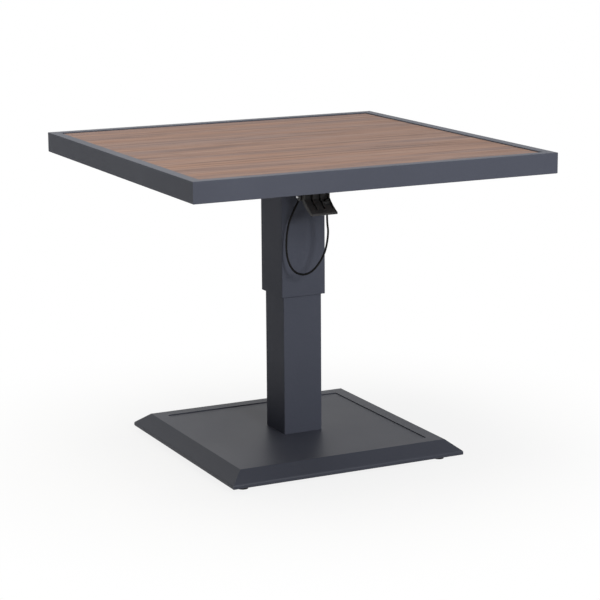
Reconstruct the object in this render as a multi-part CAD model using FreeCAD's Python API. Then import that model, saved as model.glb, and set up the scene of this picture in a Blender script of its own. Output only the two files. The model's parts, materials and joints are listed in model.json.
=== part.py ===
import FreeCAD, Part
import math
import os

Vector = FreeCAD.Vector

# A square pedestal table. A square sleeve under the top slides over a square
# column that stands on a weighted, bevelled base. A hand lever under the front
# of the top pulls a cable, which unlocks the gas spring inside the column.
# Millimetres. Origin on the floor under the column axis, Z up, front towards -Y.

# Overall sizes
top_width = 900.0
raised_height = 745.0
height_travel = 200.0

# Top frame, panel and corner keys
top_rail_height = 48.0
top_rail_width = 25.0
top_rail_wall = 2.5
top_rail_edge_radius = 1.5
top_ledge_reach = 18.0
top_ledge_thickness = 3.0
panel_thickness = 8.0
panel_recess = 3.0
panel_edge_gap = 0.8
top_key_leg = 60.0
top_key_thickness = 4.0

# Cross braces, their rubber pads and the mounting plate
brace_width = 50.0
brace_height = 28.0
brace_wall = 2.0
brace_gap = 3.0
pad_width = 30.0
pad_length = 500.0
mounting_plate_thickness = 6.0
mounting_plate_margin = 26.0

# Sleeve, column and the guides between them
sleeve_width = 114.0
sleeve_wall = 3.0
sleeve_length = 313.0
sleeve_corner_radius = 2.0
column_width = 100.0
column_wall = 3.0
column_corner_radius = 2.0
guide_height = 40.0
guide_recess = 1.0
guide_cap_thickness = 2.5
corner_relief = 1.0
least_inside_radius = 0.5
lowered_gap = 6.0
foot_plate_thickness = 12.0

# Base rails, base plate, ballast and corner keys
base_width = 600.0
base_rail_height = 35.0
base_lip_height = 9.0
base_lip_upper_radius = 6.0
base_lip_lower_radius = 2.5
base_bevel_run = 33.0
base_bevel_edge_radius = 2.0
base_rim_width = 32.0
base_rim_edge_radius = 0.6
base_rail_wall = 3.0
base_ledge_reach = 17.0
base_ledge_thickness = 3.0
base_plate_recess = 2.0
base_plate_thickness = 5.0
base_plate_edge_gap = 0.5
ballast_thickness = 12.0
ballast_edge_gap = 3.0
base_key_width = 38.0
base_key_height = 18.0
base_key_leg = 90.0

# Levelling feet
foot_height = 13.0
foot_pad_radius = 12.5
foot_pad_top_radius = 10.0
foot_pad_rim_height = 4.0
foot_pad_height = 10.0
foot_socket_depth = 7.0
foot_stem_radius = 4.0
foot_hex_flats = 13.0
foot_thread_pitch = 1.25
foot_adjustment = 10.0

# Gas spring
cylinder_radius = 14.0
cylinder_wall = 2.0
cylinder_end_thickness = 6.0
cylinder_gap = 10.0
cylinder_stud_length = 9.0
gland_height = 14.0
piston_height = 16.0
piston_gap = 0.5
rod_radius = 5.0
rod_nut_flats = 17.0
rod_nut_height = 8.0
rod_end_length = 1.5
release_pin_radius = 2.0
release_pin_length = 34.0
release_pin_projection = 3.5

# Release rocker and its bracket
rocker_width = 14.0
rocker_thickness = 5.0
rocker_hub_radius = 5.0
rocker_pivot_offset = 22.0
rocker_overhang = 8.0
rocker_pin_radius = 2.5
rocker_pin_head_radius = 4.0
rocker_pin_head_length = 2.0
rocker_side_gap = 1.0
rocker_bracket_sheet = 2.0
rocker_bracket_depth = 17.0
rocker_bracket_headroom = 0.8
rocker_bracket_foot = 18.0
rocker_bracket_foot_width = 40.0

# Cable, inner wire, adjuster and ferrule
cable_diameter = 5.0
wire_radius = 0.8
nipple_radius = 3.0
nipple_length = 8.0
wire_slot_width = 3.0
wire_slot_behind = 8.5
wire_slot_ahead = 3.0
wire_end_margin = 2.0
adjuster_gap = 15.0
adjuster_radius = 4.0
adjuster_projection = 1.0
adjuster_drop = 19.0
adjuster_head_radius = 5.5
adjuster_head_height = 7.0
adjuster_nut_flats = 13.0
adjuster_nut_height = 4.0
ferrule_collar_radius = 4.5
ferrule_collar_height = 9.0
ferrule_nose_radius = 3.0
ferrule_nose_height = 5.0

# Hanging loop of the cable: the left limb is placed from the adjuster and the
# right limb from the ferrule
loop_lead = 30.0
loop_left_upper_side = 30.5
loop_left_upper_drop = 76.0
loop_left_upper_front = 3.0
loop_left_middle_side = 50.5
loop_left_middle_drop = 118.5
loop_left_middle_front = 2.0
loop_left_lower_side = 57.0
loop_left_lower_drop = 187.0
loop_left_lower_front = 5.0
loop_bottom_left_side = 43.5
loop_bottom_left_drop = 230.5
loop_bottom_left_front = 20.0
loop_bottom_right_side = 36.5
loop_bottom_right_drop = 145.0
loop_bottom_right_back = 16.0
loop_right_lower_side = 4.0
loop_right_lower_drop = 99.5
loop_right_lower_back = 5.0
loop_right_upper_side = 5.0
loop_right_upper_drop = 47.5
loop_right_upper_back = 2.0
loop_tail = 20.0

# Hand lever
lever_gap = 50.0
lever_drop = 65.0
lever_width = 66.0
lever_pull = 24.0
lever_hub_radius = 9.5
lever_hub_wall = 3.0
lever_face_ahead = 22.4
lever_face_drop = 3.7
lever_corner_radius = 4.0
lever_dip = 46.5
lever_flare_radius = 129.0
lever_flare_turn = 21.0
lever_root_thickness = 12.0
lever_lip_thickness = 6.5
lever_lip_band = 13.0
lever_web = 3.5
lever_side_wall = 3.0
lever_rib_thickness = 2.5
lever_rib_count = 2
lever_wire_arm = 24.0
lever_wire_shift = 4.1
lever_shelf_drop = 11.5
lever_shelf_ahead = 4.5
lever_shelf_behind = 5.5

# Lever bracket and pivot pin
bracket_sheet = 2.5
bracket_depth = 34.0
bracket_side_gap = 1.0
bracket_eye_radius = 10.0
bracket_arm_half_width = 6.0
stop_tab_drop = 30.0
stop_tab_reach = 7.0
lever_pin_radius = 2.5
lever_pin_head_radius = 3.8
lever_pin_head_length = 6.0
lever_pin_head_round = 2.0
lever_pin_tail = 3.0
lever_clip_radius = 6.0
lever_clip_thickness = 1.2

# Fasteners
mounting_bolt_radius = 4.0
mounting_bolt_flats = 13.0
mounting_bolt_head = 5.3
insert_radius = 5.5
insert_height = 12.0
column_bolt_radius = 4.0
column_bolt_flats = 13.0
column_bolt_head = 5.3
column_bolt_spacing = 60.0
column_bolt_short = 2.0
base_screw_radius = 2.0
base_screw_head_radius = 4.0
base_screw_head = 3.0
base_screw_bite = 4.0
base_screw_spacing = 240.0
bracket_screw_radius = 2.5
bracket_screw_head_radius = 4.5
bracket_screw_head = 3.0
bracket_screw_spacing = 40.0
bracket_screw_end = 4.0
rocker_screw_radius = 2.0
rocker_screw_head_radius = 3.5
rocker_screw_head = 2.5
rocker_screw_spacing = 26.0

# Clearances
shaft_clearance = 0.05
guide_clearance = 0.3
wire_clearance = 0.1
bolt_clearance = 0.4
seat_clearance = 0.1
touch_gap = 0.05

# Levels of the top, from the rim down
apron_z = raised_height - top_rail_height
panel_top_z = raised_height - panel_recess
panel_bottom_z = panel_top_z - panel_thickness
brace_top_z = panel_bottom_z - top_ledge_thickness
brace_bottom_z = brace_top_z - brace_height
plate_top_z = brace_bottom_z
plate_bottom_z = plate_top_z - mounting_plate_thickness
sleeve_bottom_z = plate_bottom_z - sleeve_length

# Levels of the base, from the floor up
base_top_z = foot_height + base_rail_height
base_plate_top_z = base_top_z - base_plate_recess
base_plate_bottom_z = base_plate_top_z - base_plate_thickness
ballast_bottom_z = base_plate_bottom_z - ballast_thickness
foot_plate_top_z = base_plate_top_z + foot_plate_thickness
guide_top_z = plate_bottom_z - height_travel - lowered_gap
column_top_z = guide_top_z - guide_cap_thickness

# Levels of the gas spring and the release
cylinder_top_z = plate_bottom_z - height_travel - rod_nut_height - cylinder_gap
gland_bottom_z = cylinder_top_z - gland_height
piston_top_z = gland_bottom_z - piston_gap
piston_bottom_z = piston_top_z - piston_height
rod_top_z = plate_top_z + rod_nut_height + rod_end_length
release_pin_top_z = rod_top_z + release_pin_projection
rocker_bottom_z = release_pin_top_z + touch_gap
rocker_pivot_z = rocker_bottom_z + rocker_thickness / 2
rocker_top_z = rocker_bottom_z + rocker_thickness

# Places in plan, from the column axis towards the front
adjuster_y = -(sleeve_width / 2 + adjuster_gap)
lever_y = -(sleeve_width / 2 + lever_gap)
lever_z = plate_bottom_z - lever_drop
stop_y = lever_y - lever_wire_arm
stop_top_z = lever_z - stop_tab_drop
stop_bottom_z = stop_top_z - bracket_sheet
ferrule_bottom_z = stop_bottom_z - ferrule_collar_height
adjuster_bottom_z = plate_bottom_z - adjuster_drop
rocker_front_y = adjuster_y - rocker_overhang
brace_y = -rocker_front_y + brace_gap + brace_width / 2
plate_half = brace_y + mounting_plate_margin

# Pockets between the lever's ribs, counted from its left side
pocket_pitch = (lever_width - 2 * lever_side_wall + lever_rib_thickness) / (lever_rib_count + 1)
pocket_width = pocket_pitch - lever_rib_thickness
first_pocket_x = -lever_width / 2 + lever_side_wall
wire_x = first_pocket_x + lever_rib_count * pocket_pitch + pocket_width / 2 + lever_wire_shift

# Motion that the lever passes on: the nipples stay in touch with the lever's
# shelf and the rocker's top, and the rocker stays in touch with the pin's dome
pull = math.radians(lever_pull)
lever_nipple_height = nipple_radius - lever_shelf_drop
pulled_nipple_height = lever_nipple_height / math.cos(pull) + lever_wire_arm * math.tan(pull)
wire_travel = pulled_nipple_height - lever_nipple_height
rocker_arm = rocker_pivot_offset - adjuster_y
rocker_nipple_height = rocker_thickness / 2 + nipple_radius
rocker_turn = math.atan(wire_travel / rocker_arm)
tilt_corrections = 20
for correction in range(tilt_corrections):
    lift = rocker_nipple_height * (1 / math.cos(rocker_turn) - 1)
    rocker_turn = math.atan((wire_travel + lift) / rocker_arm)
pin_drop_height = rocker_thickness / 2 + release_pin_radius
pin_travel = rocker_pivot_offset * math.tan(rocker_turn)
pin_travel = pin_travel + pin_drop_height * (1 / math.cos(rocker_turn) - 1)


def box(x0, x1, y0, y1, z0, z1):
    return Part.makeBox(x1 - x0, y1 - y0, z1 - z0, Vector(x0, y0, z0))


def rod_z(x, y, z0, z1, radius):
    return Part.makeCylinder(radius, z1 - z0, Vector(x, y, z0))


def rod_x(x0, x1, y, z, radius):
    return Part.makeCylinder(radius, x1 - x0, Vector(x0, y, z), Vector(1, 0, 0))


def hexagon(x, y, z0, z1, flats):
    corner = flats / math.sqrt(3)
    points = []
    for k in range(7):
        angle = math.radians(60 * k)
        points.append(Vector(x + corner * math.cos(angle), y + corner * math.sin(angle), z0))
    face = Part.Face(Part.makePolygon(points))
    return face.extrude(Vector(0, 0, z1 - z0))


def rounded_face(corners, place):
    # Closed outline through the corners (a, b, radius), each rounded by a tangent arc
    count = len(corners)
    entries = []
    middles = []
    exits = []
    for k in range(count):
        here = Vector(corners[k][0], corners[k][1], 0)
        before = Vector(corners[k - 1][0], corners[k - 1][1], 0)
        after = Vector(corners[(k + 1) % count][0], corners[(k + 1) % count][1], 0)
        radius = corners[k][2]
        back = (before - here).normalize()
        ahead = (after - here).normalize()
        half = back.getAngle(ahead) / 2
        reach = radius / math.tan(half)
        inward = (back + ahead).normalize() if radius > 0 else Vector(0, 0, 0)
        centre = here + inward * (radius / math.sin(half))
        entries.append(here + back * reach)
        exits.append(here + ahead * reach)
        middles.append(centre - inward * radius)
    edges = []
    for k in range(count):
        start = place(exits[k - 1].x, exits[k - 1].y)
        entry = place(entries[k].x, entries[k].y)
        edges.append(Part.LineSegment(start, entry).toShape())
        if corners[k][2] > 0:
            middle = place(middles[k].x, middles[k].y)
            leave = place(exits[k].x, exits[k].y)
            edges.append(Part.Arc(entry, middle, leave).toShape())
    return Part.Face(Part.Wire(edges))


def polygon_face(points, place):
    return rounded_face([(a, b, 0) for a, b in points], place)


def square_bar(width, radius, z0, z1):
    half = width / 2
    corners = [(-half, -half, radius), (half, -half, radius), (half, half, radius), (-half, half, radius)]
    face = rounded_face(corners, lambda a, b: Vector(a, b, z0))
    return face.extrude(Vector(0, 0, z1 - z0))


def mitred(face, half):
    # A front rail along X, cut at 45 degrees on both ends
    bar = face.extrude(Vector(2 * half, 0, 0))
    reach = 1.2 * half
    corners = [(0, 0), (-reach, -reach), (reach, -reach)]
    wedge = polygon_face(corners, lambda a, b: Vector(a, b, -half)).extrude(Vector(0, 0, 4 * half))
    return bar.common(wedge)


def turned(shape, quarter):
    copy = shape.copy()
    copy.rotate(Vector(0, 0, 0), Vector(0, 0, 1), 90 * quarter)
    return copy


def four_turns(shape):
    return [turned(shape, quarter) for quarter in range(4)]


def fused(shapes):
    return shapes[0].fuse(shapes[1:]).removeSplitter()


def one_solid(shape):
    return shape.Solids[0]


os.makedirs("parts", exist_ok=True)


def save(name, shape):
    shape.exportStep("parts/" + name + ".step")
    bounds = shape.BoundBox
    counts = (name, len(shape.Solids), shape.isValid(), bounds.ZMin, bounds.ZMax)
    print("%-22s solids %d valid %s z %.2f to %.2f" % counts)


# Top frame: four mitred hollow rails with a ledge for the panel
top_half = top_width / 2
rail_inner = top_half - top_rail_width


def front_place(half):
    return lambda a, b: Vector(-half, -a, b)


top_outline = [
    (top_half, apron_z, top_rail_edge_radius),
    (top_half, raised_height, top_rail_edge_radius),
    (rail_inner, raised_height, top_rail_edge_radius),
    (rail_inner, panel_bottom_z, 0),
    (rail_inner - top_ledge_reach, panel_bottom_z, 0),
    (rail_inner - top_ledge_reach, brace_top_z, 0),
    (rail_inner, brace_top_z, 0),
    (rail_inner, apron_z, top_rail_edge_radius),
]
hollow_bottom_z = apron_z + top_rail_wall
hollow_top_z = raised_height - top_rail_wall
hollow_outer = top_half - top_rail_wall
hollow_inner = rail_inner + top_rail_wall
top_hollow = [
    (hollow_outer, hollow_bottom_z),
    (hollow_outer, hollow_top_z),
    (hollow_inner, hollow_top_z),
    (hollow_inner, hollow_bottom_z),
]
top_section = rounded_face(top_outline, front_place(top_half))
top_section = top_section.cut(polygon_face(top_hollow, front_place(top_half)))
top_rail = one_solid(mitred(top_section, top_half))
for quarter, side in enumerate(["front", "right", "back", "left"]):
    save("top_rail_" + side, turned(top_rail, quarter))

# Corner keys: an angle against the outer walls inside each corner of the frame
key_bottom = hollow_bottom_z + seat_clearance
key_top = hollow_top_z - seat_clearance
key_inner = hollow_outer - top_key_thickness
key_end = hollow_outer - top_key_leg
leg_x = box(key_end, hollow_outer, -hollow_outer, -key_inner, key_bottom, key_top)
leg_y = box(key_inner, hollow_outer, -hollow_outer, -key_end, key_bottom, key_top)
save("top_corner_keys", Part.makeCompound(four_turns(fused([leg_x, leg_y]))))

panel_half = rail_inner - panel_edge_gap
panel = box(-panel_half, panel_half, -panel_half, panel_half, panel_bottom_z, panel_top_z)
save("top_panel", panel)

# Cross braces between the left and right rails, with holes for inserts and screws
bracket_screw_x = bracket_screw_spacing / 2
screw_places = [(-bracket_screw_x, lever_y), (bracket_screw_x, lever_y)]
bolt_places = [(-brace_y, -brace_y), (brace_y, -brace_y), (brace_y, brace_y), (-brace_y, brace_y)]


def cross_brace(centre_y):
    near = centre_y - brace_width / 2
    far = centre_y + brace_width / 2
    outside = box(-rail_inner, rail_inner, near, far, brace_bottom_z, brace_top_z)
    inside = box(
        -rail_inner,
        rail_inner,
        near + brace_wall,
        far - brace_wall,
        brace_bottom_z + brace_wall,
        brace_top_z - brace_wall,
    )
    brace = outside.cut(inside)
    hole_top = brace_bottom_z + 2 * brace_wall
    hole_bottom = brace_bottom_z - brace_wall
    for x in (-brace_y, brace_y):
        brace = brace.cut(rod_z(x, centre_y, hole_bottom, hole_top, insert_radius + shaft_clearance))
    return brace


front_brace = cross_brace(-brace_y)
for x, y in screw_places:
    screw_hole = rod_z(
        x,
        y,
        brace_bottom_z - brace_wall,
        brace_bottom_z + 2 * brace_wall,
        bracket_screw_radius + shaft_clearance,
    )
    front_brace = front_brace.cut(screw_hole)
save("cross_brace_front", front_brace)
save("cross_brace_back", cross_brace(brace_y))

pads = []
for y in (-brace_y, brace_y):
    near = y - pad_width / 2
    far = y + pad_width / 2
    pads.append(box(-pad_length / 2, pad_length / 2, near, far, brace_top_z, panel_bottom_z))
save("panel_pads", Part.makeCompound(pads))

inserts = []
bolts = []
insert_top_z = brace_bottom_z + insert_height
for x, y in bolt_places:
    threaded_insert = rod_z(x, y, brace_bottom_z, insert_top_z, insert_radius)
    insert_bore = rod_z(x, y, brace_bottom_z, insert_top_z, mounting_bolt_radius + shaft_clearance)
    inserts.append(threaded_insert.cut(insert_bore))
    head = hexagon(x, y, plate_bottom_z - mounting_bolt_head, plate_bottom_z, mounting_bolt_flats)
    shank = rod_z(x, y, plate_bottom_z, insert_top_z, mounting_bolt_radius)
    bolts.append(fused([head, shank]))
save("brace_inserts", Part.makeCompound(inserts))
save("mounting_bolts", Part.makeCompound(bolts))

# Mounting plate, with holes for the rod, the adjuster, the bolts and the screws
rocker_foot_near = rocker_pivot_offset + rocker_bracket_depth / 2
rocker_foot_far = rocker_foot_near + rocker_bracket_foot
rocker_screw_y = (rocker_foot_near + rocker_foot_far) / 2
rocker_screw_x = rocker_screw_spacing / 2
rocker_screw_places = [(-rocker_screw_x, rocker_screw_y), (rocker_screw_x, rocker_screw_y)]
plate = box(-plate_half, plate_half, -plate_half, plate_half, plate_bottom_z, plate_top_z)
plate = plate.cut(rod_z(0, 0, plate_bottom_z, plate_top_z, rod_radius + bolt_clearance))
plate = plate.cut(rod_z(0, adjuster_y, plate_bottom_z, plate_top_z, adjuster_radius + shaft_clearance))
for x, y in bolt_places:
    plate = plate.cut(rod_z(x, y, plate_bottom_z, plate_top_z, mounting_bolt_radius + bolt_clearance))
for x, y in screw_places:
    plate = plate.cut(rod_z(x, y, plate_bottom_z, plate_top_z, bracket_screw_radius + bolt_clearance))
for x, y in rocker_screw_places:
    plate = plate.cut(rod_z(x, y, plate_bottom_z, plate_top_z, rocker_screw_radius + shaft_clearance))
save("mounting_plate", plate)

# Sleeve, column and the two guides
sleeve_inside = sleeve_width - 2 * sleeve_wall
sleeve_inside_radius = max(sleeve_corner_radius - sleeve_wall, least_inside_radius)
sleeve = square_bar(sleeve_width, sleeve_corner_radius, sleeve_bottom_z, plate_bottom_z)
sleeve = sleeve.cut(square_bar(sleeve_inside, sleeve_inside_radius, sleeve_bottom_z, plate_bottom_z))
save("outer_sleeve", sleeve)

column_inside = column_width - 2 * column_wall
column_inside_radius = max(column_corner_radius - column_wall, least_inside_radius)
column = square_bar(column_width, column_corner_radius, base_plate_top_z, column_top_z)
column = column.cut(square_bar(column_inside, column_inside_radius, base_plate_top_z, column_top_z))
save("inner_column", column)

guide_corner_radius = sleeve_inside_radius + corner_relief
lower_guide_bottom = sleeve_bottom_z + guide_recess
lower_guide_top = lower_guide_bottom + guide_height
lower_bore = column_width + 2 * guide_clearance
lower_guide = square_bar(sleeve_inside, guide_corner_radius, lower_guide_bottom, lower_guide_top)
lower_guide = lower_guide.cut(
    square_bar(lower_bore, column_corner_radius, lower_guide_bottom, lower_guide_top)
)
save("lower_guide", lower_guide)

upper_guide_width = sleeve_inside - 2 * guide_clearance
upper_guide_bottom = column_top_z - guide_height
cap_pocket_radius = column_corner_radius - corner_relief
upper_guide = square_bar(upper_guide_width, guide_corner_radius, upper_guide_bottom, guide_top_z)
upper_guide = upper_guide.cut(square_bar(column_width, cap_pocket_radius, upper_guide_bottom, column_top_z))
upper_guide = upper_guide.cut(square_bar(column_inside, column_inside_radius, column_top_z, guide_top_z))
save("upper_guide", upper_guide)

# Base rim: four mitred channels, open below, with a ledge for the base plate
base_half = base_width / 2
lip_top_z = foot_height + base_lip_height
bevel_top = base_half - base_bevel_run
rim_inner = bevel_top - base_rim_width
bevel_rise = base_top_z - lip_top_z
bevel_length = math.hypot(base_bevel_run, bevel_rise)
inside_bevel_r = base_half - base_rail_wall * bevel_rise / bevel_length
inside_bevel_z = lip_top_z - base_rail_wall * base_bevel_run / bevel_length
channel_outer = base_half - base_rail_wall
channel_inner = rim_inner + base_rail_wall
channel_top_z = base_top_z - base_rail_wall


def inside_bevel_height(r):
    return inside_bevel_z + (inside_bevel_r - r) * bevel_rise / base_bevel_run


def inside_bevel_radius(z):
    return inside_bevel_r - (z - inside_bevel_z) * base_bevel_run / bevel_rise


base_outline = [
    (base_half, foot_height, base_lip_lower_radius),
    (base_half, lip_top_z, base_lip_upper_radius),
    (bevel_top, base_top_z, base_bevel_edge_radius),
    (rim_inner, base_top_z, base_rim_edge_radius),
    (rim_inner, base_plate_bottom_z, 0),
    (rim_inner - base_ledge_reach, base_plate_bottom_z, 0),
    (rim_inner - base_ledge_reach, base_plate_bottom_z - base_ledge_thickness, 0),
    (rim_inner, base_plate_bottom_z - base_ledge_thickness, 0),
    (rim_inner, foot_height, 0),
    (channel_inner, foot_height, 0),
    (channel_inner, channel_top_z, 0),
    (inside_bevel_radius(channel_top_z), channel_top_z, 0),
    (channel_outer, inside_bevel_height(channel_outer), 0),
    (channel_outer, foot_height, 0),
]
base_rail = mitred(rounded_face(base_outline, front_place(base_half)), base_half)
ledge_middle = rim_inner - base_ledge_reach / 2
ledge_bottom_z = base_plate_bottom_z - base_ledge_thickness
base_screw_x = base_screw_spacing / 2
base_screw_places = [(-base_screw_x, -ledge_middle), (base_screw_x, -ledge_middle)]
base_screw_top = base_plate_bottom_z + base_screw_bite
screw_bore = base_screw_radius + shaft_clearance
plate_edge = rim_inner - base_plate_edge_gap
base_plate = box(-plate_edge, plate_edge, -plate_edge, plate_edge, base_plate_bottom_z, base_plate_top_z)
base_screws = []
for x, y in base_screw_places:
    base_rail = base_rail.cut(rod_z(x, y, ledge_bottom_z, base_plate_bottom_z, screw_bore))
    head = rod_z(x, y, ledge_bottom_z - base_screw_head, ledge_bottom_z, base_screw_head_radius)
    shank = rod_z(x, y, ledge_bottom_z, base_screw_top, base_screw_radius)
    base_screws.extend(four_turns(fused([head, shank])))
    blind_hole = rod_z(x, y, base_plate_bottom_z, base_screw_top + shaft_clearance, screw_bore)
    for hole in four_turns(blind_hole):
        base_plate = base_plate.cut(hole)
base_rail = one_solid(base_rail)
for quarter, side in enumerate(["front", "right", "back", "left"]):
    save("base_rail_" + side, turned(base_rail, quarter))
save("base_plate_screws", Part.makeCompound(base_screws))

# Ballast plate, foot plate inside the column and the bolts through all three
ballast_half = rim_inner - base_ledge_reach - ballast_edge_gap
ballast = box(
    -ballast_half,
    ballast_half,
    -ballast_half,
    ballast_half,
    ballast_bottom_z,
    base_plate_bottom_z,
)
foot_plate_width = column_inside - 2 * seat_clearance
foot_plate_radius = column_inside_radius + corner_relief
foot_plate = square_bar(foot_plate_width, foot_plate_radius, base_plate_top_z, foot_plate_top_z)
foot_plate = foot_plate.cut(rod_z(0, 0, base_plate_top_z, foot_plate_top_z, rod_radius + shaft_clearance))
column_bolts = []
reach = column_bolt_spacing / 2
bolt_top_z = foot_plate_top_z - column_bolt_short
for x, y in [(-reach, -reach), (reach, -reach), (reach, reach), (-reach, reach)]:
    through = rod_z(x, y, ballast_bottom_z, base_plate_top_z, column_bolt_radius + bolt_clearance)
    ballast = ballast.cut(through)
    base_plate = base_plate.cut(through)
    foot_plate = foot_plate.cut(
        rod_z(x, y, base_plate_top_z, foot_plate_top_z, column_bolt_radius + shaft_clearance)
    )
    head = hexagon(x, y, ballast_bottom_z - column_bolt_head, ballast_bottom_z, column_bolt_flats)
    shank = rod_z(x, y, ballast_bottom_z, bolt_top_z, column_bolt_radius)
    column_bolts.append(fused([head, shank]))
save("base_plate", base_plate)
save("ballast_plate", ballast)
save("column_foot_plate", foot_plate)
save("column_bolts", Part.makeCompound(column_bolts))

# Base corner keys, threaded for the levelling feet
key_outer = channel_inner + base_key_width
base_key_top_z = min(inside_bevel_height(key_outer), channel_top_z) - seat_clearance
base_key_bottom_z = base_key_top_z - base_key_height
foot_place = channel_inner + base_key_width / 2
leg_start = key_outer - base_key_leg
key_leg_x = box(leg_start, key_outer, -key_outer, -channel_inner, base_key_bottom_z, base_key_top_z)
key_leg_y = box(channel_inner, key_outer, -key_outer, -leg_start, base_key_bottom_z, base_key_top_z)
base_key = fused([key_leg_x, key_leg_y])
stem_bore = foot_stem_radius + shaft_clearance
base_key = base_key.cut(rod_z(foot_place, -foot_place, base_key_bottom_z, base_key_top_z, stem_bore))
save("base_corner_keys", Part.makeCompound(four_turns(base_key)))

# Levelling feet: a pad and a threaded stem with a hexagon collar
pad_disc = rod_z(foot_place, -foot_place, 0, foot_pad_rim_height, foot_pad_radius)
pad_cone = Part.makeCone(
    foot_pad_radius,
    foot_pad_top_radius,
    foot_pad_height - foot_pad_rim_height,
    Vector(foot_place, -foot_place, foot_pad_rim_height),
)
socket_bottom = foot_pad_height - foot_socket_depth
foot_pad = fused([pad_disc, pad_cone])
foot_pad = foot_pad.cut(rod_z(foot_place, -foot_place, socket_bottom, foot_pad_height, stem_bore))
stem_bottom = socket_bottom + shaft_clearance
stem_end = rod_z(foot_place, -foot_place, stem_bottom, base_key_top_z, foot_stem_radius)
collar = hexagon(foot_place, -foot_place, foot_pad_height, base_key_bottom_z, foot_hex_flats)
foot_stem = fused([stem_end, collar])
for quarter, corner in enumerate(["front_right", "back_right", "back_left", "front_left"]):
    save("foot_pad_" + corner, turned(foot_pad, quarter))
    save("foot_stem_" + corner, turned(foot_stem, quarter))

# Gas spring: cylinder with a stud in the foot plate, gland, rod, piston, nuts and release pin
bore_radius = cylinder_radius - cylinder_wall
bore_bottom_z = foot_plate_top_z + cylinder_end_thickness
cylinder = rod_z(0, 0, foot_plate_top_z, cylinder_top_z, cylinder_radius)
cylinder = cylinder.cut(rod_z(0, 0, bore_bottom_z, cylinder_top_z, bore_radius))
stud = rod_z(0, 0, foot_plate_top_z - cylinder_stud_length, foot_plate_top_z, rod_radius)
save("gas_spring_cylinder", fused([cylinder, stud]))
rod_bore_radius = rod_radius + shaft_clearance
gland = rod_z(0, 0, gland_bottom_z, cylinder_top_z, bore_radius - shaft_clearance)
save("gas_spring_gland", gland.cut(rod_z(0, 0, gland_bottom_z, cylinder_top_z, rod_bore_radius)))
piston = rod_z(0, 0, piston_bottom_z, piston_top_z, bore_radius - 2 * shaft_clearance)
save("gas_spring_piston", piston.cut(rod_z(0, 0, piston_bottom_z, piston_top_z, rod_bore_radius)))
release_pin_bottom_z = release_pin_top_z - release_pin_length
pin_bore_bottom_z = release_pin_bottom_z - 2 * pin_travel
spring_rod = rod_z(0, 0, piston_bottom_z, rod_top_z, rod_radius)
pin_bore = rod_z(0, 0, pin_bore_bottom_z, rod_top_z, release_pin_radius + shaft_clearance)
save("gas_spring_rod", spring_rod.cut(pin_bore))
nut_bore = rod_z(0, 0, plate_bottom_z - rod_nut_height, rod_top_z, rod_bore_radius)
nut_below = hexagon(0, 0, plate_bottom_z - rod_nut_height, plate_bottom_z, rod_nut_flats).cut(nut_bore)
nut_above = hexagon(0, 0, plate_top_z, plate_top_z + rod_nut_height, rod_nut_flats).cut(nut_bore)
save("rod_nuts", Part.makeCompound([nut_below, nut_above]))
dome_z = release_pin_top_z - release_pin_radius
pin_shank = rod_z(0, 0, release_pin_bottom_z, dome_z, release_pin_radius)
pin_dome = Part.makeSphere(release_pin_radius, Vector(0, 0, dome_z))
save("release_pin", fused([pin_shank, pin_dome]))

# Release rocker over the pin, its bracket, pivot pin and screws
rocker_half = rocker_width / 2
rocker_bar = box(
    -rocker_half,
    rocker_half,
    rocker_front_y,
    rocker_pivot_offset,
    rocker_bottom_z,
    rocker_top_z,
)
rocker_hub = rod_x(-rocker_half, rocker_half, rocker_pivot_offset, rocker_pivot_z, rocker_hub_radius)
rocker = fused([rocker_bar, rocker_hub])
rocker_bore = rocker_pin_radius + shaft_clearance
rocker = rocker.cut(rod_x(-rocker_half, rocker_half, rocker_pivot_offset, rocker_pivot_z, rocker_bore))
slot_half = wire_slot_width / 2
rocker_slot = box(
    -slot_half,
    slot_half,
    adjuster_y - wire_slot_ahead,
    adjuster_y + wire_slot_ahead,
    rocker_bottom_z,
    rocker_top_z,
)
save("release_rocker", rocker.cut(rocker_slot))

fork_inner = rocker_half + rocker_side_gap
fork_outer = fork_inner + rocker_bracket_sheet
fork_near = rocker_pivot_offset - rocker_bracket_depth / 2
fork_top_z = rocker_pivot_z + rocker_hub_radius + rocker_bracket_headroom
fork = box(-fork_outer, fork_outer, fork_near, rocker_foot_near, plate_top_z, fork_top_z)
fork_back = rocker_foot_near - rocker_bracket_sheet
fork = fork.cut(box(-fork_inner, fork_inner, fork_near, fork_back, plate_top_z, fork_top_z))
foot_half = rocker_bracket_foot_width / 2
rocker_foot_top = plate_top_z + rocker_bracket_sheet
fork_foot = box(-foot_half, foot_half, fork_back, rocker_foot_far, plate_top_z, rocker_foot_top)
rocker_bracket = fused([fork, fork_foot])
rocker_bracket = rocker_bracket.cut(
    rod_x(-fork_outer, fork_outer, rocker_pivot_offset, rocker_pivot_z, rocker_bore)
)
rocker_screws = []
rocker_screw_bottom = plate_bottom_z + seat_clearance
for x, y in rocker_screw_places:
    rocker_bracket = rocker_bracket.cut(
        rod_z(x, y, plate_top_z, rocker_foot_top, rocker_screw_radius + bolt_clearance)
    )
    head = rod_z(x, y, rocker_foot_top, rocker_foot_top + rocker_screw_head, rocker_screw_head_radius)
    shank = rod_z(x, y, rocker_screw_bottom, rocker_foot_top, rocker_screw_radius)
    rocker_screws.append(fused([head, shank]))
save("rocker_bracket", rocker_bracket)
save("rocker_screws", Part.makeCompound(rocker_screws))
pin_body = rod_x(-fork_outer, fork_outer, rocker_pivot_offset, rocker_pivot_z, rocker_pin_radius)
pin_head_start = -fork_outer - rocker_pin_head_length
pin_head = rod_x(pin_head_start, -fork_outer, rocker_pivot_offset, rocker_pivot_z, rocker_pin_head_radius)
save("rocker_pin", fused([pin_body, pin_head]))

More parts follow.
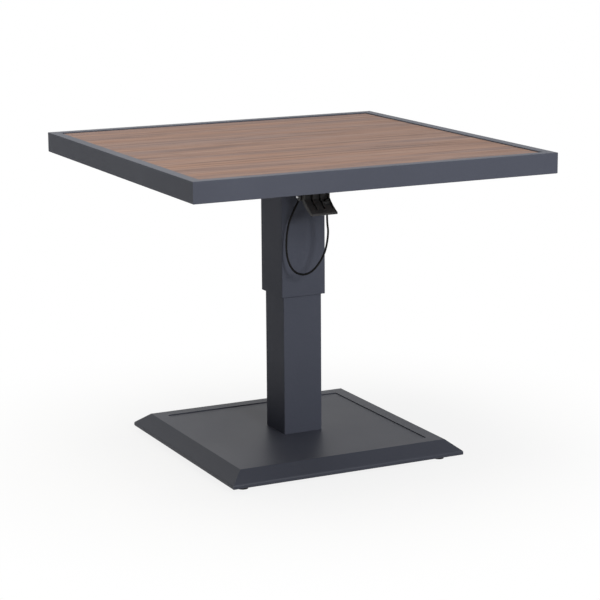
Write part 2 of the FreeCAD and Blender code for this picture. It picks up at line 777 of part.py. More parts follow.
# Cable adjuster in the plate, its lock nut, and the wire end that hooks on the rocker
wire_bore_radius = wire_radius + wire_clearance
adjuster_top_z = plate_top_z + adjuster_projection
adjuster_head_top = adjuster_bottom_z + adjuster_head_height
adjuster = fused([
    rod_z(0, adjuster_y, adjuster_head_top, adjuster_top_z, adjuster_radius),
    rod_z(0, adjuster_y, adjuster_bottom_z, adjuster_head_top, adjuster_head_radius),
])
adjuster_bore = rod_z(0, adjuster_y, adjuster_bottom_z, adjuster_top_z, wire_bore_radius)
save("cable_adjuster", adjuster.cut(adjuster_bore))
lock_nut_bottom = plate_bottom_z - adjuster_nut_height
lock_nut = hexagon(0, adjuster_y, lock_nut_bottom, plate_bottom_z, adjuster_nut_flats)
lock_nut_bore = rod_z(0, adjuster_y, lock_nut_bottom, plate_bottom_z, adjuster_radius + shaft_clearance)
save("adjuster_nut", lock_nut.cut(lock_nut_bore))
rocker_nipple_z = rocker_top_z + touch_gap + nipple_radius
rocker_wire_end = adjuster_bottom_z + wire_travel + wire_end_margin
nipple_half = nipple_length / 2
rocker_wire = fused([
    rod_x(-nipple_half, nipple_half, adjuster_y, rocker_nipple_z, nipple_radius),
    rod_z(0, adjuster_y, rocker_wire_end, rocker_nipple_z, wire_radius),
])
save("rocker_wire", rocker_wire)

# Hand lever: one side outline pulled across its width, pockets between ribs


def lever_place(x):
    return lambda ahead, up: Vector(x, lever_y - ahead, lever_z + up)


dip = math.radians(lever_dip)
flare_turn = math.radians(lever_flare_turn)
flare_centre = (
    lever_face_ahead + lever_flare_radius * math.sin(dip),
    lever_flare_radius * math.cos(dip) - lever_face_drop,
)


def corner_point(angle):
    # The rounded corner between the lever's top and its upright face
    ahead = lever_face_ahead - lever_corner_radius * (1 - math.sin(angle))
    return (ahead, lever_hub_radius - lever_corner_radius * (1 - math.cos(angle)))


def flare_point(turn, depth):
    radius = lever_flare_radius + depth
    ahead = flare_centre[0] - radius * math.sin(dip - turn)
    return (ahead, flare_centre[1] - radius * math.cos(dip - turn))


def flare_thickness(turn):
    return lever_root_thickness + (lever_lip_thickness - lever_root_thickness) * turn / flare_turn


def lever_edges(x):
    place = lever_place(x)
    tip_top = flare_point(flare_turn, 0)
    tip_bottom = flare_point(flare_turn, lever_lip_thickness)
    tip_angle = dip - flare_turn
    tip_half = lever_lip_thickness / 2
    tip_middle = flare_point(flare_turn, tip_half)
    tip_end = (
        tip_middle[0] + tip_half * math.cos(tip_angle),
        tip_middle[1] - tip_half * math.sin(tip_angle),
    )
    half_turn = flare_turn / 2
    under_middle = flare_point(half_turn, flare_thickness(half_turn))
    under_root = flare_point(0, lever_root_thickness)
    hub_top = (0, lever_hub_radius)
    corner_start = corner_point(0)
    corner_middle = corner_point(math.pi / 4)
    corner_end = corner_point(math.pi / 2)
    flare_start = flare_point(0, 0)
    hub_back = (-lever_hub_radius, 0)
    hub_bottom = (0, -lever_hub_radius)
    neck_bottom = (lever_hub_radius + lever_hub_wall, -lever_hub_radius)
    return [
        Part.LineSegment(place(*hub_top), place(*corner_start)).toShape(),
        Part.Arc(place(*corner_start), place(*corner_middle), place(*corner_end)).toShape(),
        Part.LineSegment(place(*corner_end), place(*flare_start)).toShape(),
        Part.Arc(place(*flare_start), place(*flare_point(half_turn, 0)), place(*tip_top)).toShape(),
        Part.Arc(place(*tip_top), place(*tip_end), place(*tip_bottom)).toShape(),
        Part.Arc(place(*tip_bottom), place(*under_middle), place(*under_root)).toShape(),
        Part.LineSegment(place(*under_root), place(*neck_bottom)).toShape(),
        Part.LineSegment(place(*neck_bottom), place(*hub_bottom)).toShape(),
        Part.Arc(place(*hub_bottom), place(*hub_back), place(*hub_top)).toShape(),
    ]


lever_half = lever_width / 2
lever = Part.Face(Part.Wire(lever_edges(-lever_half))).extrude(Vector(lever_width, 0, 0))
lever_bore = rod_x(-lever_half, lever_half, lever_y, lever_z, lever_pin_radius + shaft_clearance)
lever = lever.cut(lever_bore)
pocket_back = lever_hub_radius + lever_hub_wall
pocket_floor = lever_web - lever_hub_radius
pocket_ceiling = 2 * lever_hub_radius
band_turn = flare_turn - lever_lip_band / lever_flare_radius
floor_root = flare_point(0, lever_root_thickness - lever_web)
floor_end = flare_point(band_turn, flare_thickness(band_turn) - lever_web)
above_end = flare_point(band_turn, -lever_web)
pocket_points = [
    (pocket_back, pocket_ceiling),
    (pocket_back, pocket_floor),
    floor_root,
    floor_end,
    above_end,
    (above_end[0], pocket_ceiling),
]
shelf_end = lever_wire_arm + lever_shelf_ahead
shelf_points = [
    (pocket_back, -lever_shelf_drop),
    (shelf_end, -lever_shelf_drop),
    (shelf_end, flare_centre[1] - 2 * lever_flare_radius),
    (pocket_back, flare_centre[1] - 2 * lever_flare_radius),
]
shelf_start = lever_wire_arm - lever_shelf_behind
shelf_room = [
    (shelf_start, pocket_ceiling),
    (shelf_start, -lever_shelf_drop),
    (shelf_end, -lever_shelf_drop),
    (shelf_end, pocket_ceiling),
]
pocket_across = Vector(pocket_width, 0, 0)
for k in range(lever_rib_count + 1):
    pocket_x = first_pocket_x + k * pocket_pitch
    pocket = polygon_face(pocket_points, lever_place(pocket_x))
    if k == lever_rib_count:
        pocket = pocket.cut(polygon_face(shelf_points, lever_place(pocket_x)))
        lever = lever.cut(polygon_face(shelf_room, lever_place(pocket_x)).extrude(pocket_across))
    lever = lever.cut(pocket.extrude(pocket_across))
wire_slot = box(
    wire_x - slot_half,
    wire_x + slot_half,
    stop_y - wire_slot_ahead,
    stop_y + wire_slot_behind,
    lever_z - 2 * lever_hub_radius - lever_shelf_drop,
    lever_z - lever_shelf_drop,
)
lever = lever.cut(wire_slot)
save("hand_lever", one_solid(lever))

# Lever bracket: a folded channel under the plate, with an arm and a tab that stop the cable
cheek_inner = lever_half + bracket_side_gap
cheek_outer = cheek_inner + bracket_sheet
bracket_back = lever_y + bracket_depth / 2
bracket_front = lever_y - bracket_depth / 2
web_bottom_z = plate_bottom_z - bracket_sheet
cheek_points = [
    (bracket_back, plate_bottom_z),
    (bracket_front, plate_bottom_z),
    (lever_y - bracket_eye_radius, lever_z),
    (lever_y + bracket_eye_radius, lever_z),
]
arm_top = (lever_y - bracket_eye_radius, lever_z)
arm_front = stop_y - bracket_arm_half_width
arm_back = stop_y + bracket_arm_half_width
arm_points = [
    arm_top,
    (arm_front, stop_top_z + bracket_arm_half_width),
    (arm_front, stop_bottom_z),
    (arm_back, stop_bottom_z),
    (lever_y, lever_z - bracket_eye_radius),
    (lever_y, lever_z),
]


def plain_yz(x):
    return lambda a, b: Vector(x, a, b)


across = Vector(bracket_sheet, 0, 0)
left_cheek = polygon_face(cheek_points, plain_yz(-cheek_outer)).extrude(across)
right_cheek = polygon_face(cheek_points, plain_yz(cheek_inner)).extrude(across)
bracket = fused([
    box(-cheek_outer, cheek_outer, bracket_front, bracket_back, web_bottom_z, plate_bottom_z),
    left_cheek,
    right_cheek,
    rod_x(-cheek_outer, -cheek_inner, lever_y, lever_z, bracket_eye_radius),
    rod_x(cheek_inner, cheek_outer, lever_y, lever_z, bracket_eye_radius),
    polygon_face(arm_points, plain_yz(cheek_inner)).extrude(across),
    box(wire_x - stop_tab_reach, cheek_outer, arm_front, arm_back, stop_bottom_z, stop_top_z),
])
lever_pin_bore = lever_pin_radius + shaft_clearance
bracket = bracket.cut(rod_x(-cheek_outer, cheek_outer, lever_y, lever_z, lever_pin_bore))
ferrule_hole_radius = ferrule_nose_radius + shaft_clearance
bracket = bracket.cut(rod_z(wire_x, stop_y, stop_bottom_z, stop_top_z, ferrule_hole_radius))
bracket_screws = []
screw_end_z = brace_bottom_z + brace_wall + bracket_screw_end
for x, y in screw_places:
    screw_hole = rod_z(x, y, web_bottom_z, plate_bottom_z, bracket_screw_radius + bolt_clearance)
    bracket = bracket.cut(screw_hole)
    head = rod_z(x, y, web_bottom_z - bracket_screw_head, web_bottom_z, bracket_screw_head_radius)
    shank = rod_z(x, y, web_bottom_z, screw_end_z, bracket_screw_radius)
    bracket_screws.append(fused([head, shank]))
save("lever_bracket", one_solid(bracket))
save("bracket_screws", Part.makeCompound(bracket_screws))
lever_pin_start = -cheek_outer - lever_pin_head_length
lever_pin_head = rod_x(lever_pin_start, -cheek_outer, lever_y, lever_z, lever_pin_head_radius)
end_edges = [edge for edge in lever_pin_head.Edges if edge.BoundBox.XMax < lever_pin_start + touch_gap]
lever_pin_head = lever_pin_head.makeFillet(lever_pin_head_round, end_edges)
lever_pin_body = rod_x(-cheek_outer, cheek_outer + lever_pin_tail, lever_y, lever_z, lever_pin_radius)
save("lever_pin", fused([lever_pin_body, lever_pin_head]))
clip_end = cheek_outer + lever_clip_thickness
clip = rod_x(cheek_outer, clip_end, lever_y, lever_z, lever_clip_radius)
save("lever_pin_clip", clip.cut(rod_x(cheek_outer, clip_end, lever_y, lever_z, lever_pin_bore)))

# Ferrule in the stop tab and the wire end that hooks on the lever
ferrule_top_z = stop_top_z + ferrule_nose_height
ferrule = fused([
    rod_z(wire_x, stop_y, ferrule_bottom_z, stop_bottom_z, ferrule_collar_radius),
    rod_z(wire_x, stop_y, stop_bottom_z, ferrule_top_z, ferrule_nose_radius),
])
ferrule_bore = rod_z(wire_x, stop_y, ferrule_bottom_z, ferrule_top_z, wire_bore_radius)
save("cable_ferrule", ferrule.cut(ferrule_bore))
lever_nipple_z = lever_z + lever_nipple_height + touch_gap
lever_wire = fused([
    rod_x(wire_x - nipple_half, wire_x + nipple_half, stop_y, lever_nipple_z, nipple_radius),
    rod_z(wire_x, stop_y, ferrule_bottom_z + wire_end_margin, lever_nipple_z, wire_radius),
])
save("lever_wire", lever_wire)

# Cable: straight runs joined by tangent arcs, from the adjuster round the loop to the ferrule
cable_start = Vector(0, adjuster_y, adjuster_bottom_z)
cable_end = Vector(wire_x, stop_y, ferrule_bottom_z)
cable_points = [
    cable_start,
    cable_start + Vector(0, 0, -loop_lead),
    cable_start + Vector(-loop_left_upper_side, -loop_left_upper_front, -loop_left_upper_drop),
    cable_start + Vector(-loop_left_middle_side, -loop_left_middle_front, -loop_left_middle_drop),
    cable_start + Vector(-loop_left_lower_side, -loop_left_lower_front, -loop_left_lower_drop),
    cable_start + Vector(-loop_bottom_left_side, -loop_bottom_left_front, -loop_bottom_left_drop),
    cable_end + Vector(-loop_bottom_right_side, loop_bottom_right_back, -loop_bottom_right_drop),
    cable_end + Vector(-loop_right_lower_side, loop_right_lower_back, -loop_right_lower_drop),
    cable_end + Vector(loop_right_upper_side, loop_right_upper_back, -loop_right_upper_drop),
    cable_end + Vector(0, 0, -loop_tail),
    cable_end,
]
arc_share = 0.45
cable_edges = []
here = cable_points[0]
for k in range(1, len(cable_points) - 1):
    corner = cable_points[k]
    run_in = corner - cable_points[k - 1]
    run_out = cable_points[k + 1] - corner
    half_turn = run_in.getAngle(run_out) / 2
    tangent = arc_share * min(run_in.Length, run_out.Length)
    radius = tangent / math.tan(half_turn)
    way_in = Vector(run_in).normalize()
    way_out = Vector(run_out).normalize()
    arc_start = corner - way_in * tangent
    arc_end = corner + way_out * tangent
    inward = (way_out - way_in).normalize()
    arc_middle = corner + inward * (radius / math.cos(half_turn) - radius)
    cable_edges.append(Part.LineSegment(here, arc_start).toShape())
    cable_edges.append(Part.Arc(arc_start, arc_middle, arc_end).toShape())
    here = arc_end
    turn = math.degrees(2 * half_turn)
    print("cable bend %d: radius %.1f turn %.1f run %.1f" % (k, radius, turn, run_in.Length))
cable_edges.append(Part.LineSegment(here, cable_points[-1]).toShape())
cable_path = Part.Wire(cable_edges)
cable_radius = cable_diameter / 2
cable_section = Part.Wire(Part.makeCircle(cable_radius, cable_start, Vector(0, 0, -1)))
cable = cable_path.makePipeShell([cable_section], True, False)
expected_volume = math.pi * cable_radius ** 2 * cable_path.Length
cable_sums = (cable_path.Length, cable.Volume, expected_volume)
print("cable length %.1f volume %.1f section x length %.1f" % cable_sums)
save("release_cable", cable)

print("wire travel %.4f mm, rocker turn %.4f deg, pin travel %.4f mm"
      % (wire_travel, math.degrees(rocker_turn), pin_travel))
foot_turn = 360 * foot_adjustment / foot_thread_pitch
print("foot adjustment %.2f mm is a turn of %.1f deg" % (foot_adjustment, foot_turn))
print("lever pivot y %.3f z %.3f, rocker pivot y %.3f z %.3f"
      % (lever_y, lever_z, rocker_pivot_offset, rocker_pivot_z))
print("foot centre %.3f" % foot_place)
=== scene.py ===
"""Looks of the telescoping pedestal table: a finish for every node, release cable, camera and light."""

import json
import math

import bpy
from mathutils import Matrix, Vector


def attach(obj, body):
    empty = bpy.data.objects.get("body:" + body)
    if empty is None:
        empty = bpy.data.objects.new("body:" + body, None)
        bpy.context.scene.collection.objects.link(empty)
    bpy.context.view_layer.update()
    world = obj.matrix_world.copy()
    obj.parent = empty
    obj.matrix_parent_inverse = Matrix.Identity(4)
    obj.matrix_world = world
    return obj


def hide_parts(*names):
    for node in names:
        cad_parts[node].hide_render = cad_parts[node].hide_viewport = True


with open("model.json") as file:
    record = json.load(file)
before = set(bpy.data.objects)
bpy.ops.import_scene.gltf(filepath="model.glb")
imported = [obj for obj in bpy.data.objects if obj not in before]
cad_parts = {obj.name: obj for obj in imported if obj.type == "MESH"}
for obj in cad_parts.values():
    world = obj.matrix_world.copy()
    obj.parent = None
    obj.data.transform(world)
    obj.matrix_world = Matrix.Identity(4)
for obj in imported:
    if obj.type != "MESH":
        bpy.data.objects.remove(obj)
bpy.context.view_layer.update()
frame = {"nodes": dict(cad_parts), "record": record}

# Camera, fitted to the edges of the table in the photograph: angles in degrees, distances in metres
camera_azimuth = -26.259
camera_elevation = 12.266
camera_roll = -0.363
camera_distance = 4.81615
camera_aim = Vector((0.0144, -0.0071, 0.3623))
image_pixels = 600
focal_pixels = 2002.0
sensor_width = 36.0

# Release cable, route from the adjuster under the top round its loop and up to the ferrule at the lever
cable_diameter = 0.005
cable_order = 3
cable_steps = 24
cable_ring_steps = 5
cable_route = [
    (0.0, -0.072, 0.678),
    (0.0, -0.072, 0.648),
    (-0.0305, -0.075, 0.602),
    (-0.0505, -0.074, 0.5595),
    (-0.057, -0.077, 0.491),
    (-0.0435, -0.092, 0.4475),
    (-0.01157, -0.115, 0.4455),
    (0.02093, -0.126, 0.491),
    (0.02993, -0.129, 0.543),
    (0.02493, -0.131, 0.5705),
    (0.02493, -0.131, 0.5905),
]

# Nodes of the frame's material slot whose coat is glossier or duller than that of the top rails
own_coats = {
    "base_rail_front": "charcoal_steel",
    "base_rail_right": "charcoal_steel",
    "base_rail_back": "charcoal_steel",
    "base_rail_left": "charcoal_steel",
    "outer_sleeve": "charcoal_tube",
    "inner_column": "charcoal_tube",
}

# Powder coat: sizes and heights of its patterns in metres, shares of its own tone, swing of its roughness
coat_drift_size = 0.28
coat_wear_size = 0.18
coat_speckle_size = 0.0011
coat_speckle_height = 0.00003
coat_peel_size = 0.0024
coat_peel_height = 0.00006
coat_dark_share = 0.93
coat_light_share = 1.07
coat_speckle_share = 1.6
coat_roughness_swing = 0.02

# Wood grain: size of each pattern in metres, along the grain, across it and through the panel
wood_band_size = (0.62, 0.055, 0.2)
wood_streak_size = (0.34, 0.014, 0.1)
wood_line_size = (0.16, 0.0034, 0.05)
wood_fibre_size = (0.055, 0.0010, 0.05)
wood_dash_size = (0.085, 0.0024, 0.05)
wood_cluster_size = (0.42, 0.045, 0.1)
wood_line_height = 0.00008
wood_vessel_depth = 0.00012
wood_gloss = 0.12
wood_warm = (0.256, 0.154, 0.119, 1.0)
wood_grey = (0.184, 0.132, 0.129, 1.0)
wood_pale = (0.314, 0.214, 0.182, 1.0)
wood_dark = (0.078, 0.049, 0.042, 1.0)

# Moulded plastic and rubber
moulded_cloud_size = 0.02
moulded_sheen_size = 0.012
moulded_dark_share = 0.85
moulded_light_share = 1.2
moulded_roughness_swing = 0.08
moulded_blue = 1.05
moulded_gloss = 0.08

# Bare and plated metal
metal_cloud_size = 0.006
metal_dark_share = 0.86
metal_light_share = 1.06
metal_smooth_share = 0.75
metal_rough_share = 1.3
metal_blue = 1.02

# Floor: its shadow is deepest within shadow_start metres of the middle and gone at shadow_reach
floor_half = 14.0
floor_grey = 0.6
floor_drop = 0.0002
shadow_start = 0.25
shadow_reach = 1.1
shadow_share = 0.14

# Studio: the world's light from its horizon and from overhead, and soft boxes with their power in watts
horizon_level = 0.03
zenith_level = 0.10
white = (1.0, 1.0, 1.0)
warm_white = (1.0, 0.955, 0.82)
lamps = {
    "front_box": {
        "place": (0.12, -3.12, 1.60), "aim": (0, 0, 0.5),
        "size": (0.6, 1.15), "power": 46.0, "colour": white,
    },
    "overhead_box": {
        "place": (-0.8, 0.2, 4.2), "aim": (-0.4, 0.1, 0.7),
        "size": (2.6, 2.2), "power": 140.0, "colour": warm_white,
    },
    "back_box": {
        "place": (1.1, 3.9, 3.4), "aim": (0, 0, 0.5),
        "size": (1.5, 1.5), "power": 7.0, "colour": white,
    },
    "right_box": {
        "place": (4.8, 0.9, 0.75), "aim": (0, 0, 0.5),
        "size": (1.5, 1.5), "power": 60.0, "colour": white,
    },
    "glint_box": {
        "place": (1.85, -4.1, 1.95), "aim": (0, 0, 0.4),
        "size": (1.3, 0.9), "power": 32.0, "colour": white,
    },
}

# Sockets of the Mix node that take and give colours
mix_factor = 0
mix_first_colour = 6
mix_second_colour = 7
mix_result_colour = 2


class Finish:
    """One procedural material: a Principled shader and the nodes that feed it, patterned in metres."""

    def __init__(self, name, **constants):
        self.material = bpy.data.materials.new(name)
        self.material.use_nodes = True
        self.tree = self.material.node_tree
        self.shader = self.tree.nodes["Principled BSDF"]
        self.place = self.tree.nodes.new("ShaderNodeTexCoord").outputs["Object"]
        for socket, value in constants.items():
            self.shader.inputs[socket.replace("_", " ")].default_value = value

    def add(self, kind, **settings):
        node = self.tree.nodes.new(kind)
        for key, value in settings.items():
            setattr(node, key, value)
        return node

    def feed(self, socket, value):
        """Links an output to a socket, or sets the socket to a plain value."""
        if isinstance(value, bpy.types.NodeSocket):
            self.tree.links.new(value, socket)
        else:
            socket.default_value = value

    def shade(self, name, value):
        self.feed(self.shader.inputs[name], value)

    def noise(self, size, detail=2.0, roughness=0.5, distortion=0.0, shift=0.0):
        """Noise whose features are about size metres long on each axis."""
        sizes = (size, size, size) if isinstance(size, float) else size
        mapping = self.add("ShaderNodeMapping")
        self.feed(mapping.inputs["Vector"], self.place)
        mapping.inputs["Scale"].default_value = [1.0 / s for s in sizes]
        mapping.inputs["Location"].default_value = (shift, shift * 1.7, shift * 0.6)
        node = self.add("ShaderNodeTexNoise")
        self.feed(node.inputs["Vector"], mapping.outputs["Vector"])
        node.inputs["Scale"].default_value = 1.0
        node.inputs["Detail"].default_value = detail
        node.inputs["Roughness"].default_value = roughness
        node.inputs["Distortion"].default_value = distortion
        return node.outputs["Fac"]

    def spread(self, value, low, high, start=0.3, end=0.7):
        """Maps start..end of a pattern to low..high, held outside."""
        node = self.add("ShaderNodeMapRange")
        self.feed(node.inputs["Value"], value)
        node.inputs["From Min"].default_value = start
        node.inputs["From Max"].default_value = end
        node.inputs["To Min"].default_value = low
        node.inputs["To Max"].default_value = high
        return node.outputs["Result"]

    def math(self, operation, first, second):
        node = self.add("ShaderNodeMath", operation=operation)
        self.feed(node.inputs[0], first)
        self.feed(node.inputs[1], second)
        return node.outputs[0]

    def mix(self, factor, first, second):
        """Mixes two colours by a factor."""
        node = self.add("ShaderNodeMix", data_type="RGBA")
        self.feed(node.inputs[mix_factor], factor)
        self.feed(node.inputs[mix_first_colour], first)
        self.feed(node.inputs[mix_second_colour], second)
        return node.outputs[mix_result_colour]

    def bump(self, height, distance, under=None):
        """Raises the surface by up to distance metres where height is 1, over any bump under it."""
        node = self.add("ShaderNodeBump")
        node.inputs["Strength"].default_value = 1.0
        node.inputs["Distance"].default_value = distance
        self.feed(node.inputs["Height"], height)
        if under is not None:
            self.feed(node.inputs["Normal"], under)
        return node.outputs["Normal"]


def grey(level, blue=1.0):
    """A near-neutral colour, a little blue where blue is over 1."""
    return (level, level * (1 + (blue - 1) * 0.2), level * blue, 1.0)


def powder_coat(name, level, blue, roughness, gloss):
    """Textured powder coat: orange peel, fine grit, and a tone that drifts a little over the surface."""
    finish = Finish(name, Specular_IOR_Level=gloss)
    drift = finish.spread(finish.noise(coat_drift_size), low=0.0, high=1.0)
    speckle = finish.noise(coat_speckle_size, detail=1.0)
    grit = finish.spread(speckle, low=0.0, high=0.16, start=0.45, end=0.75)
    tone = finish.mix(drift, grey(level * coat_dark_share, blue), grey(level * coat_light_share, blue))
    finish.shade("Base Color", finish.mix(grit, tone, grey(level * coat_speckle_share, blue)))
    wear = finish.noise(coat_wear_size)
    smoothest = roughness - coat_roughness_swing
    roughest = roughness + coat_roughness_swing
    finish.shade("Roughness", finish.spread(wear, low=smoothest, high=roughest))
    peel = finish.bump(finish.noise(coat_peel_size, detail=1.0), coat_peel_height)
    finish.shade("Normal", finish.bump(speckle, coat_speckle_height, under=peel))
    return finish.material


def wood_grain(name):
    """Weathered brown wood grain along X: broad bands, streaks, lines, fibres and short dark vessels."""
    finish = Finish(name, Specular_IOR_Level=wood_gloss)
    bands = finish.noise(wood_band_size, distortion=0.35)
    streaks = finish.noise(wood_streak_size, detail=3.0, distortion=0.3, shift=3.1)
    lines = finish.noise(wood_line_size, shift=7.7)
    fibres = finish.noise(wood_fibre_size, roughness=0.6, shift=15.2)
    dashes = finish.noise(wood_dash_size, detail=1.0, shift=12.3)
    clusters = finish.noise(wood_cluster_size, detail=1.0, shift=5.9)
    warmth = finish.spread(bands, low=0.0, high=1.0, start=0.34, end=0.66)
    pale_streaks = finish.spread(streaks, low=0.0, high=0.72, start=0.45, end=0.70)
    dark_streaks = finish.spread(streaks, low=0.55, high=0.0, start=0.29, end=0.46)
    dark_lines = finish.spread(lines, low=0.0, high=0.36, start=0.50, end=0.72)
    pale_fibres = finish.spread(fibres, low=0.20, high=0.0, start=0.32, end=0.50)
    dark_fibres = finish.spread(fibres, low=0.0, high=0.22, start=0.50, end=0.68)
    short_dashes = finish.spread(dashes, low=0.0, high=1.0, start=0.60, end=0.68)
    where_clustered = finish.spread(clusters, low=0.0, high=0.75, start=0.50, end=0.64)
    vessels = finish.math("MULTIPLY", short_dashes, where_clustered)
    tone = finish.mix(warmth, wood_grey, wood_warm)
    tone = finish.mix(pale_streaks, tone, wood_pale)
    tone = finish.mix(dark_streaks, tone, wood_dark)
    tone = finish.mix(dark_lines, tone, wood_dark)
    tone = finish.mix(pale_fibres, tone, wood_pale)
    tone = finish.mix(dark_fibres, tone, wood_dark)
    finish.shade("Base Color", finish.mix(vessels, tone, wood_dark))
    finish.shade("Roughness", finish.spread(lines, low=0.62, high=0.72))
    grain = finish.bump(lines, wood_line_height)
    between_vessels = finish.math("SUBTRACT", 1.0, vessels)
    finish.shade("Normal", finish.bump(between_vessels, wood_vessel_depth, under=grain))
    return finish.material


def moulded(name, level, roughness, grain, depth):
    """Moulded plastic or rubber: a fine spark-eroded grain and a faint handling sheen."""
    finish = Finish(name, Specular_IOR_Level=moulded_gloss)
    cloud = finish.spread(finish.noise(moulded_cloud_size), low=0.0, high=1.0)
    dark = grey(level * moulded_dark_share, moulded_blue)
    light = grey(level * moulded_light_share, moulded_blue)
    finish.shade("Base Color", finish.mix(cloud, dark, light))
    sheen = finish.noise(moulded_sheen_size, detail=3.0)
    smoothest = roughness - moulded_roughness_swing
    roughest = roughness + moulded_roughness_swing
    finish.shade("Roughness", finish.spread(sheen, low=smoothest, high=roughest))
    finish.shade("Normal", finish.bump(finish.noise(grain), depth))
    return finish.material


def metal(name, level, roughness, grain, depth):
    """Bare or plated metal: cloudy tone, patchy gloss and fine marks."""
    finish = Finish(name, Metallic=1.0)
    cloud = finish.spread(finish.noise(metal_cloud_size, detail=3.0), low=0.0, high=1.0)
    dark = grey(level * metal_dark_share, metal_blue)
    light = grey(level * metal_light_share, metal_blue)
    finish.shade("Base Color", finish.mix(cloud, dark, light))
    marks = finish.noise(grain)
    smoothest = roughness * metal_smooth_share
    roughest = roughness * metal_rough_share
    finish.shade("Roughness", finish.spread(marks, low=smoothest, high=roughest))
    finish.shade("Normal", finish.bump(marks, depth))
    return finish.material


def make_finishes():
    return {
        "charcoal_frame": powder_coat(
            "charcoal_frame_coat", level=0.076, blue=1.44, roughness=0.52, gloss=0.11,
        ),
        "charcoal_steel": powder_coat(
            "charcoal_steel_coat", level=0.055, blue=1.42, roughness=0.45, gloss=0.16,
        ),
        "charcoal_tube": powder_coat(
            "charcoal_tube_coat", level=0.076, blue=1.44, roughness=0.54, gloss=0.065,
        ),
        "black_steel": powder_coat(
            "black_steel_coat", level=0.019, blue=1.06, roughness=0.40, gloss=0.22,
        ),
        "die_cast": metal(
            "die_cast_metal", level=0.52, roughness=0.50, grain=0.0016, depth=0.00006,
        ),
        "wood_grain": wood_grain("wood_grain_panel"),
        "black_plastic": moulded(
            "black_moulded_plastic", level=0.060, roughness=0.40, grain=0.0006, depth=0.00002,
        ),
        "cable_jacket": moulded(
            "cable_jacket_plastic", level=0.008, roughness=0.55, grain=0.0012, depth=0.00001,
        ),
        "black_rubber": moulded(
            "black_moulded_rubber", level=0.020, roughness=0.66, grain=0.0008, depth=0.00004,
        ),
        "zinc_steel": metal(
            "zinc_plate", level=0.52, roughness=0.34, grain=(0.004, 0.004, 0.0007), depth=0.00001,
        ),
        "bright_rod": metal(
            "chromed_rod", level=0.74, roughness=0.10, grain=(0.02, 0.02, 0.0005), depth=0.000002,
        ),
    }


def dress_nodes(finishes):
    """Gives each CAD node the finish of its material slot, or its own coat."""
    for row in frame["record"]["subparts"]:
        for place in frame["nodes"][row["node"]].material_slots:
            place.material = finishes[own_coats.get(row["node"], row["material_slot"])]


def make_cable(finishes):
    """The cable's jacket, a round NURBS line in place of the plain CAD tube."""
    curve = bpy.data.curves.new("release_cable_jacket", "CURVE")
    curve.dimensions = "3D"
    curve.resolution_u = cable_steps
    curve.bevel_depth = cable_diameter / 2
    curve.bevel_resolution = cable_ring_steps
    curve.use_fill_caps = True
    line = curve.splines.new("NURBS")
    line.points.add(len(cable_route) - 1)
    for point, place in zip(line.points, cable_route):
        point.co = (*place, 1.0)
    line.order_u = cable_order
    line.use_endpoint_u = True
    line.resolution_u = cable_steps
    cable = bpy.data.objects.new("release_cable_jacket", curve)
    bpy.context.collection.objects.link(cable)
    curve.materials.append(finishes["cable_jacket"])
    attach(cable, "top")
    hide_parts("release_cable")


def combine(tree, operation, first, second):
    """A Math node on two outputs."""
    node = tree.nodes.new("ShaderNodeMath")
    node.operation = operation
    tree.links.new(first, node.inputs[0])
    tree.links.new(second, node.inputs[1])
    return node.outputs[0]


def mix_shaders(tree, share, first, second):
    """A Mix Shader node: the first shader where share is 0, the second where it is 1."""
    node = tree.nodes.new("ShaderNodeMixShader")
    for output, socket in zip((share, first, second), node.inputs):
        tree.links.new(output, socket)
    return node.outputs[0]


def seen_directly(tree):
    """1 for what the camera sees, itself or in gloss or through glass, and 0 for light on the table."""
    path = tree.nodes.new("ShaderNodeLightPath")
    seen = combine(tree, "MAXIMUM", path.outputs["Is Camera Ray"], path.outputs["Is Glossy Ray"])
    return combine(tree, "MAXIMUM", seen, path.outputs["Is Transmission Ray"])


def make_paper():
    """The floor's material: white with a soft shadow from above, clear from below."""
    material = bpy.data.materials.new("floor_paper")
    material.use_nodes = True
    tree = material.node_tree
    nodes = tree.nodes
    nodes.clear()
    paper = nodes.new("ShaderNodeBsdfDiffuse")
    paper.inputs["Color"].default_value = (floor_grey, floor_grey, floor_grey, 1.0)
    glow = nodes.new("ShaderNodeEmission")
    glow.inputs["Strength"].default_value = 1.0
    where = nodes.new("ShaderNodeTexCoord")
    distance = nodes.new("ShaderNodeVectorMath")
    distance.operation = "LENGTH"
    tree.links.new(where.outputs["Object"], distance.inputs[0])
    fade = nodes.new("ShaderNodeMapRange")
    fade.interpolation_type = "SMOOTHSTEP"
    fade.inputs["From Min"].default_value = shadow_start
    fade.inputs["From Max"].default_value = shadow_reach
    fade.inputs["To Min"].default_value = 1.0 - shadow_share
    fade.inputs["To Max"].default_value = 1.0
    tree.links.new(distance.outputs["Value"], fade.inputs["Value"])
    share = combine(tree, "MULTIPLY", seen_directly(tree), fade.outputs["Result"])
    above = mix_shaders(tree, share, paper.outputs[0], glow.outputs[0])
    below = nodes.new("ShaderNodeBsdfTransparent")
    side = nodes.new("ShaderNodeNewGeometry")
    sides = mix_shaders(tree, side.outputs["Backfacing"], above, below.outputs[0])
    out = nodes.new("ShaderNodeOutputMaterial")
    tree.links.new(sides, out.inputs["Surface"])
    return material


def make_floor():
    """A pale floor that shows white, keeps a soft shadow near the table and is clear from below."""
    mesh = bpy.data.meshes.new("floor")
    corners = [(-1, -1), (1, -1), (1, 1), (-1, 1)]
    points = [(x * floor_half, y * floor_half, -floor_drop) for x, y in corners]
    mesh.from_pydata(points, [], [(0, 1, 2, 3)])
    floor = bpy.data.objects.new("floor", mesh)
    bpy.context.collection.objects.link(floor)
    mesh.materials.append(make_paper())


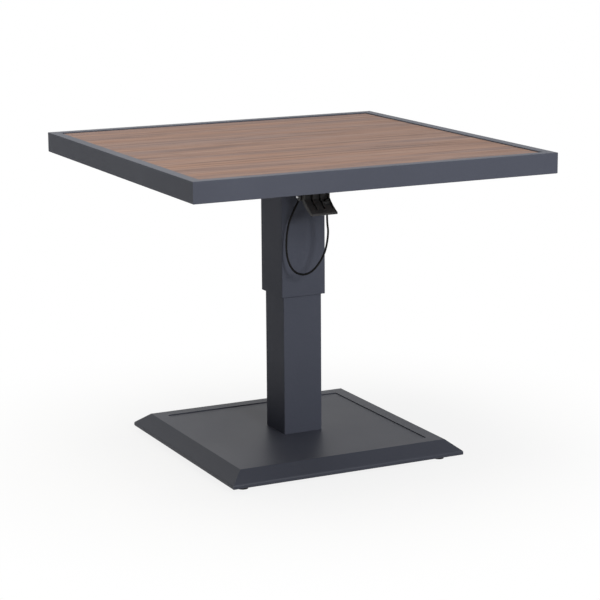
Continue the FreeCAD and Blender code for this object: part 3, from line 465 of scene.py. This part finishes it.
def make_world():
    """A soft grey studio that looks white to the camera and in reflections."""
    world = bpy.data.worlds.new("studio")
    bpy.context.scene.world = world
    world.use_nodes = True
    tree = world.node_tree
    nodes = tree.nodes
    soft = nodes["Background"]
    soft.inputs["Color"].default_value = (1.0, 1.0, 1.0, 1.0)
    where = nodes.new("ShaderNodeTexCoord")
    axes = nodes.new("ShaderNodeSeparateXYZ")
    tree.links.new(where.outputs["Generated"], axes.inputs[0])
    height = nodes.new("ShaderNodeMapRange")
    height.inputs["To Min"].default_value = horizon_level
    height.inputs["To Max"].default_value = zenith_level
    tree.links.new(axes.outputs["Z"], height.inputs["Value"])
    tree.links.new(height.outputs["Result"], soft.inputs["Strength"])
    backdrop = nodes.new("ShaderNodeBackground")
    backdrop.inputs["Strength"].default_value = 1.0
    backdrop.inputs["Color"].default_value = (1.0, 1.0, 1.0, 1.0)
    shown = mix_shaders(tree, seen_directly(tree), soft.outputs[0], backdrop.outputs[0])
    tree.links.new(shown, nodes["World Output"].inputs["Surface"])


def make_lamp(name, place, aim, size, power, colour):
    """A rectangular soft box that faces its aim."""
    data = bpy.data.lights.new(name, "AREA")
    data.shape = "RECTANGLE"
    data.size, data.size_y = size
    data.energy = power
    data.color = colour
    lamp = bpy.data.objects.new(name, data)
    bpy.context.collection.objects.link(lamp)
    lamp.location = place
    lamp.rotation_euler = (Vector(aim) - Vector(place)).to_track_quat("-Z", "Y").to_euler()


def make_light():
    make_world()
    for name, lamp in lamps.items():
        make_lamp(name, **lamp)


def make_camera():
    azimuth = math.radians(camera_azimuth)
    elevation = math.radians(camera_elevation)
    level = math.cos(elevation)
    back = Vector((math.sin(azimuth) * level, -math.cos(azimuth) * level, math.sin(elevation)))
    data = bpy.data.cameras.new("camera")
    data.sensor_width = sensor_width
    data.lens = sensor_width * focal_pixels / image_pixels
    camera = bpy.data.objects.new("camera", data)
    bpy.context.collection.objects.link(camera)
    turn = (-back).to_track_quat("-Z", "Y").to_matrix().to_4x4()
    roll = Matrix.Rotation(math.radians(camera_roll), 4, "Z")
    camera.matrix_world = Matrix.Translation(camera_aim + back * camera_distance) @ turn @ roll
    bpy.context.scene.camera = camera


make_camera()
finishes = make_finishes()
make_cable(finishes)
dress_nodes(finishes)
make_floor()
make_light()
bpy.context.scene.view_settings.view_transform = "Standard"
